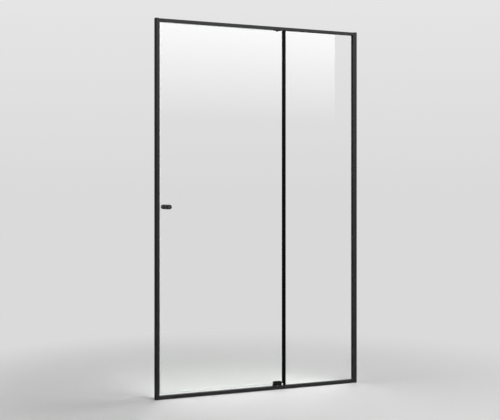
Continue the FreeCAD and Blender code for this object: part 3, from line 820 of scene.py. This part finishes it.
class SHOWERDOOR_OT_screws(ShowerDoorOperator, Operator):
    """Form the threaded screws and the grub screws with their drive recesses"""

    bl_idname = "shower_door.screws"
    bl_label = "Form the screws"

    def execute(self, context):
        steel = stainless_steel()
        for node, direction in SCREW_DIRECTIONS.items():
            parts = []
            for low, high in solid_boxes(node):
                points_to = direction or (0, 0, 1 if high[2] < CAD_HIGH[2] / 2 else -1)
                parts.append(self.screw(low, high, np.array(points_to, float), node in COUNTERSUNK_SCREWS))
            seat(make_piece(f"threaded_{node}", *joined(parts), steel), node)
        grubs = [self.grub(low, high) for low, high in solid_boxes("shoe_grub_screws")]
        seat(make_piece("socket_grub_screws", *joined(grubs), steel), "shoe_grub_screws")
        return {"FINISHED"}

    def screw(self, low, high, direction, countersunk):
        """A self-tapping screw that fills a box and points along a direction.

        The rows run from the middle of the head's top over its rim and under it to the shank and its tip."""
        reach = np.abs(direction) @ (high - low)
        start = (low + high) / 2 - direction * reach / 2
        rim = np.max((high - low)[direction == 0]) / 2
        head = sizes().countersink_height if countersunk else sizes().screw_head_height
        under = sizes().screw_core if countersunk else rim
        top_radius, top_height = self.head_top(rim, head, 0 if countersunk else PAN_CROWN_SHARE)
        shank_radius, shank_height = self.shank(reach - head)
        ring = np.ones((1, SCREW_SIDES))
        radius = np.concatenate([top_radius, under * ring, shank_radius, 0 * ring])
        height = np.concatenate([top_height, head * ring, head + shank_height, reach * ring])
        return turned(radius, height, start, direction)

    def head_top(self, rim, head, crown_share):
        """Radii and heights of a head's top, which falls to its rim with the square of the radius.

        Inside the arms of the cross it is sunk by the recess's depth, times a share that falls evenly from
        one to zero across an arm's sloped walls and across its sloped end."""
        angle = angles(SCREW_SIDES)
        out = np.linspace(0, 1, HEAD_ROWS)[:, None]
        beside = np.minimum(np.abs(np.cos(angle)), np.abs(np.sin(angle))) * out
        wall = np.clip((RECESS_ARM_SHARE - beside) / RECESS_WALL_SHARE, 0, 1)
        end = np.clip((RECESS_REACH_SHARE - out) / RECESS_END_SHARE, 0, 1)
        height = head * (crown_share * out**2 + RECESS_DEPTH_SHARE * wall * end)
        return np.broadcast_arrays(rim * out, height)

    def shank(self, length):
        """Radii and heights of a shank: its core, which narrows at the tip, plus its thread.

        The thread is a triangle wave of height / pitch - angle / turn, and fades out in its first and last
        turns."""
        size = sizes()
        turns = max(int(length / size.thread_pitch), 1)
        along = np.linspace(0, 1, THREAD_ROWS * turns + 1)[:, None]
        phase = (along * length / size.thread_pitch - angles(SCREW_SIDES) / (2 * np.pi)) % 1
        crest = np.clip(1 - np.abs(phase - 0.5) / THREAD_SHARE, 0, 1)
        fade = np.clip((1 - along) * turns, 0, 1) * np.clip(along * turns, 0, 1)
        core = size.screw_core * np.clip((1 - along) * TIP_SLOPE + TIP_SHARE, 0, 1)
        return np.broadcast_arrays(core + size.thread_depth * crest * fade, along * length)

    def grub(self, low, high):
        """A grub screw along Y: a chamfered bar with a hexagon socket.

        The socket's wall lies at half the key's size / cosine of the angle from its flat's middle."""
        outer = (high[2] - low[2]) / 2
        length = high[1] - low[1]
        chamfer = GRUB_CHAMFER_SHARE * outer
        flat = 2 * np.pi / SOCKET_FLATS
        socket = sizes().socket_width / 2 / np.cos(angles(GRUB_SIDES) % flat - flat / 2)
        rings = [0, outer - chamfer, outer, outer, outer - chamfer, socket, socket, 0]
        levels = [0, 0, chamfer, length - chamfer, length, length,
                  SOCKET_FLOOR_SHARE * length, SOCKET_CONE_SHARE * length]
        radius = np.stack([np.broadcast_to(ring, GRUB_SIDES) for ring in rings])
        return turned(radius, np.array(levels)[:, None], on_axis(low, high, low[1]), (0, 1, 0))


class SHOWERDOOR_OT_knob(ShowerDoorOperator, Operator):
    """Turn both halves of the knob"""

    bl_idname = "shower_door.knob"
    bl_label = "Turn the knob"

    def execute(self, context):
        for node, outwards in (("outer_knob", -1), ("inner_knob", 1)):
            low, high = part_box(node)
            start = on_axis(low, high, low[1] if outwards > 0 else high[1])
            shape = self.half(low, high, start, outwards)
            seat(make_piece(f"turned_{node}", *shape, lacquered_brass(start)), node)
        return {"FINISHED"}

    def half(self, low, high, start, outwards):
        """A bar turned about Y: a blind bore, a neck at the glass, a rounded rim and a dished end.

        The line runs from the bore's bottom out over the neck and the bar to the rim. The dish is a parabola,
        depth * (1 - (radius / dish radius) squared)."""
        size = sizes()
        bar = (high[2] - low[2]) / 2
        length = high[1] - low[1]
        neck = bar - size.knob_neck
        bore, deep = size.knob_bore, size.knob_bore_depth
        dish = bar - DISH_INSET_SHARE * size.knob_edge
        side = rounded(
            [(0, deep), (bore, deep), (bore, 0), (neck, 0), (neck, size.knob_neck_width),
             (bar, size.knob_neck_width), (bar, length), (dish, length)],
            [*KNOB_ROUNDINGS, size.knob_edge])
        inwards = np.linspace(1, 0, DISH_ROWS)[1:]
        hollow = np.stack([dish * inwards, length - size.knob_dish * (1 - inwards**2)], axis=1)
        return turned_outline(np.concatenate([side, hollow]), KNOB_SIDES, start, (0, outwards, 0))


class SHOWERDOOR_OT_stage(ShowerDoorOperator, Operator):
    """Set up the floor, the backdrop, the lights and the camera"""

    bl_idname = "shower_door.stage"
    bl_label = "Set the stage"

    def execute(self, context):
        self.floor()
        self.backdrop(context.scene)
        middle = (0, 0, CAD_HIGH[2] / 2)
        self.softbox("key_light", KEY_PLACE, middle, KEY_SIZE, stage().key_power)
        self.softbox("back_light", BACK_PLACE, middle, BACK_SIZE, stage().back_power)
        self.glare()
        self.camera(context.scene)
        context.scene.view_settings.view_transform = "Standard"
        return {"FINISHED"}

    def seen(self, tree):
        """One for the rays that show the backdrop: from the camera, mirrored or through glass."""
        ray = add(tree, "ShaderNodeLightPath").outputs
        some = add(tree, "ShaderNodeMath", {
            0: ray["Is Camera Ray"], 1: ray["Is Glossy Ray"]}, operation="MAXIMUM")
        return add(tree, "ShaderNodeMath", {
            0: some.outputs["Value"], 1: ray["Is Transmission Ray"]}, operation="MAXIMUM").outputs["Value"]

    def floor(self):
        """A disc of pale floor that fades into the backdrop with its distance from the door."""
        material, tree = blank("pale_studio_floor")
        place = add(tree, "ShaderNodeTexCoord").outputs["Object"]
        far = add(tree, "ShaderNodeVectorMath", {0: place}, operation="LENGTH").outputs["Value"]
        fade = add(tree, "ShaderNodeMapRange", {
            "Value": far, "From Min": stage().fade_start, "From Max": stage().fade_end},
            interpolation_type="SMOOTHSTEP")
        near = add(tree, "ShaderNodeBsdfDiffuse", {"Color": opaque(stage().floor)})
        glow = add(tree, "ShaderNodeEmission", {
            "Color": opaque(stage().background), "Strength": self.seen(tree)})
        both = add(tree, "ShaderNodeMixShader", {
            0: fade.outputs["Result"], 1: near.outputs["BSDF"], 2: glow.outputs["Emission"]})
        add(tree, "ShaderNodeOutputMaterial", {"Surface": both.outputs["Shader"]})
        rings = np.array([stage().floor_radius, stage().fade_end, stage().fade_start, 0])
        line = np.stack([rings, 0 * rings], axis=1)
        make_piece("floor", *turned_outline(line, FLOOR_SIDES, (0, 0, 0), (0, 0, 1)), material)

    def backdrop(self, scene):
        """A pale tone all round that lightens upwards, and a lower even light for the surfaces."""
        world = bpy.data.worlds.new("studio")
        world.use_nodes = True
        tree = world.node_tree
        tree.nodes.clear()
        light = add(tree, "ShaderNodeBackground", {"Color": opaque((1, 1, 1)), "Strength": stage().ambient})
        around = add(tree, "ShaderNodeTexCoord").outputs["Generated"]
        heading = add(tree, "ShaderNodeSeparateXYZ", {0: around})
        rise = add(tree, "ShaderNodeMapRange", {
            "Value": heading.outputs["Z"], "From Max": math.sin(stage().background_rise)})
        wash = add(tree, "ShaderNodeMix", {
            MIX_FACTOR: rise.outputs["Result"],
            MIX_A: opaque(stage().background),
            MIX_B: opaque(stage().background_top),
        }, data_type="RGBA")
        tone = add(tree, "ShaderNodeBackground", {"Color": wash.outputs[MIX_RESULT], "Strength": 1.0})
        both = add(tree, "ShaderNodeMixShader", {
            0: self.seen(tree), 1: light.outputs["Background"], 2: tone.outputs["Background"]})
        add(tree, "ShaderNodeOutputWorld", {"Surface": both.outputs["Shader"]})
        scene.world = world

    def softbox(self, name, place, target, size, power):
        """A rectangular area light that looks at a target and isn't seen itself."""
        lamp = bpy.data.lights.new(name, "AREA")
        lamp.shape = "RECTANGLE"
        lamp.size, lamp.size_y = size
        lamp.energy = power
        box = bpy.data.objects.new(name, lamp)
        bpy.context.scene.collection.objects.link(box)
        box.location = place
        east, north, up = np.subtract(target, place)
        box.rotation_euler = (math.atan2(math.hypot(east, north), -up), 0, math.atan2(-east, north))
        box.visible_camera = False
        box.visible_transmission = False
        return lamp

    def glare(self):
        """The softbox that the panes mirror, brightest at its top and dark at its lower edge."""
        lamp = self.softbox("glare_light", GLARE_PLACE, GLARE_TARGET, GLARE_SIZE, stage().glare_power)
        lamp.use_nodes = True
        tree = lamp.node_tree
        tree.nodes.clear()
        place = add(tree, "ShaderNodeNewGeometry").outputs["Parametric"]
        across = add(tree, "ShaderNodeSeparateXYZ", {0: place})
        glow = add(tree, "ShaderNodeEmission", {"Strength": across.outputs["Y"]})
        add(tree, "ShaderNodeOutputLight", {"Surface": glow.outputs["Emission"]})

    def camera(self, scene):
        """A level camera that sees the door from its closing side."""
        lens = bpy.data.cameras.new("camera")
        lens.lens = stage().focal_length
        lens.shift_y = -stage().horizon_shift
        lens.clip_end = 2 * stage().floor_radius
        camera = bpy.data.objects.new("camera", lens)
        scene.collection.objects.link(camera)
        camera.location = stage().camera_place
        camera.rotation_euler = (math.pi / 2, 0, stage().camera_heading)
        scene.camera = camera


class SHOWERDOOR_PT_panel(Panel):
    """Lists the steps that finish the door"""

    bl_idname = "SHOWERDOOR_PT_panel"
    bl_label = "Shower door"
    bl_space_type = "VIEW_3D"
    bl_region_type = "UI"
    bl_category = "Shower door"

    def draw(self, context):
        for operator in OPERATORS:
            self.layout.operator(operator.bl_idname)
        for group in (finishes(), sizes(), stage()):
            box = self.layout.box()
            for name in group.__annotations__:
                box.prop(group, name)


GROUPS = {
    "shower_door_finishes": ShowerDoorFinishes,
    "shower_door_sizes": ShowerDoorSizes,
    "shower_door_stage": ShowerDoorStage,
}
OPERATORS = (
    SHOWERDOOR_OT_sections,
    SHOWERDOOR_OT_panes,
    SHOWERDOOR_OT_seals,
    SHOWERDOOR_OT_pivots,
    SHOWERDOOR_OT_caps,
    SHOWERDOOR_OT_screws,
    SHOWERDOOR_OT_knob,
    SHOWERDOOR_OT_stage,
)


def register():
    for group in (*GROUPS.values(), *OPERATORS, SHOWERDOOR_PT_panel):
        bpy.utils.register_class(group)
    for name, group in GROUPS.items():
        setattr(bpy.types.Scene, name, PointerProperty(type=group))


def unregister():
    for name in GROUPS:
        delattr(bpy.types.Scene, name)
    for group in reversed((*GROUPS.values(), *OPERATORS, SHOWERDOOR_PT_panel)):
        bpy.utils.unregister_class(group)


def main():
    register()
    for operator in OPERATORS:
        group, step = operator.bl_idname.split(".")
        getattr(getattr(bpy.ops, group), step)()


if __name__ == "__main__":
    main()
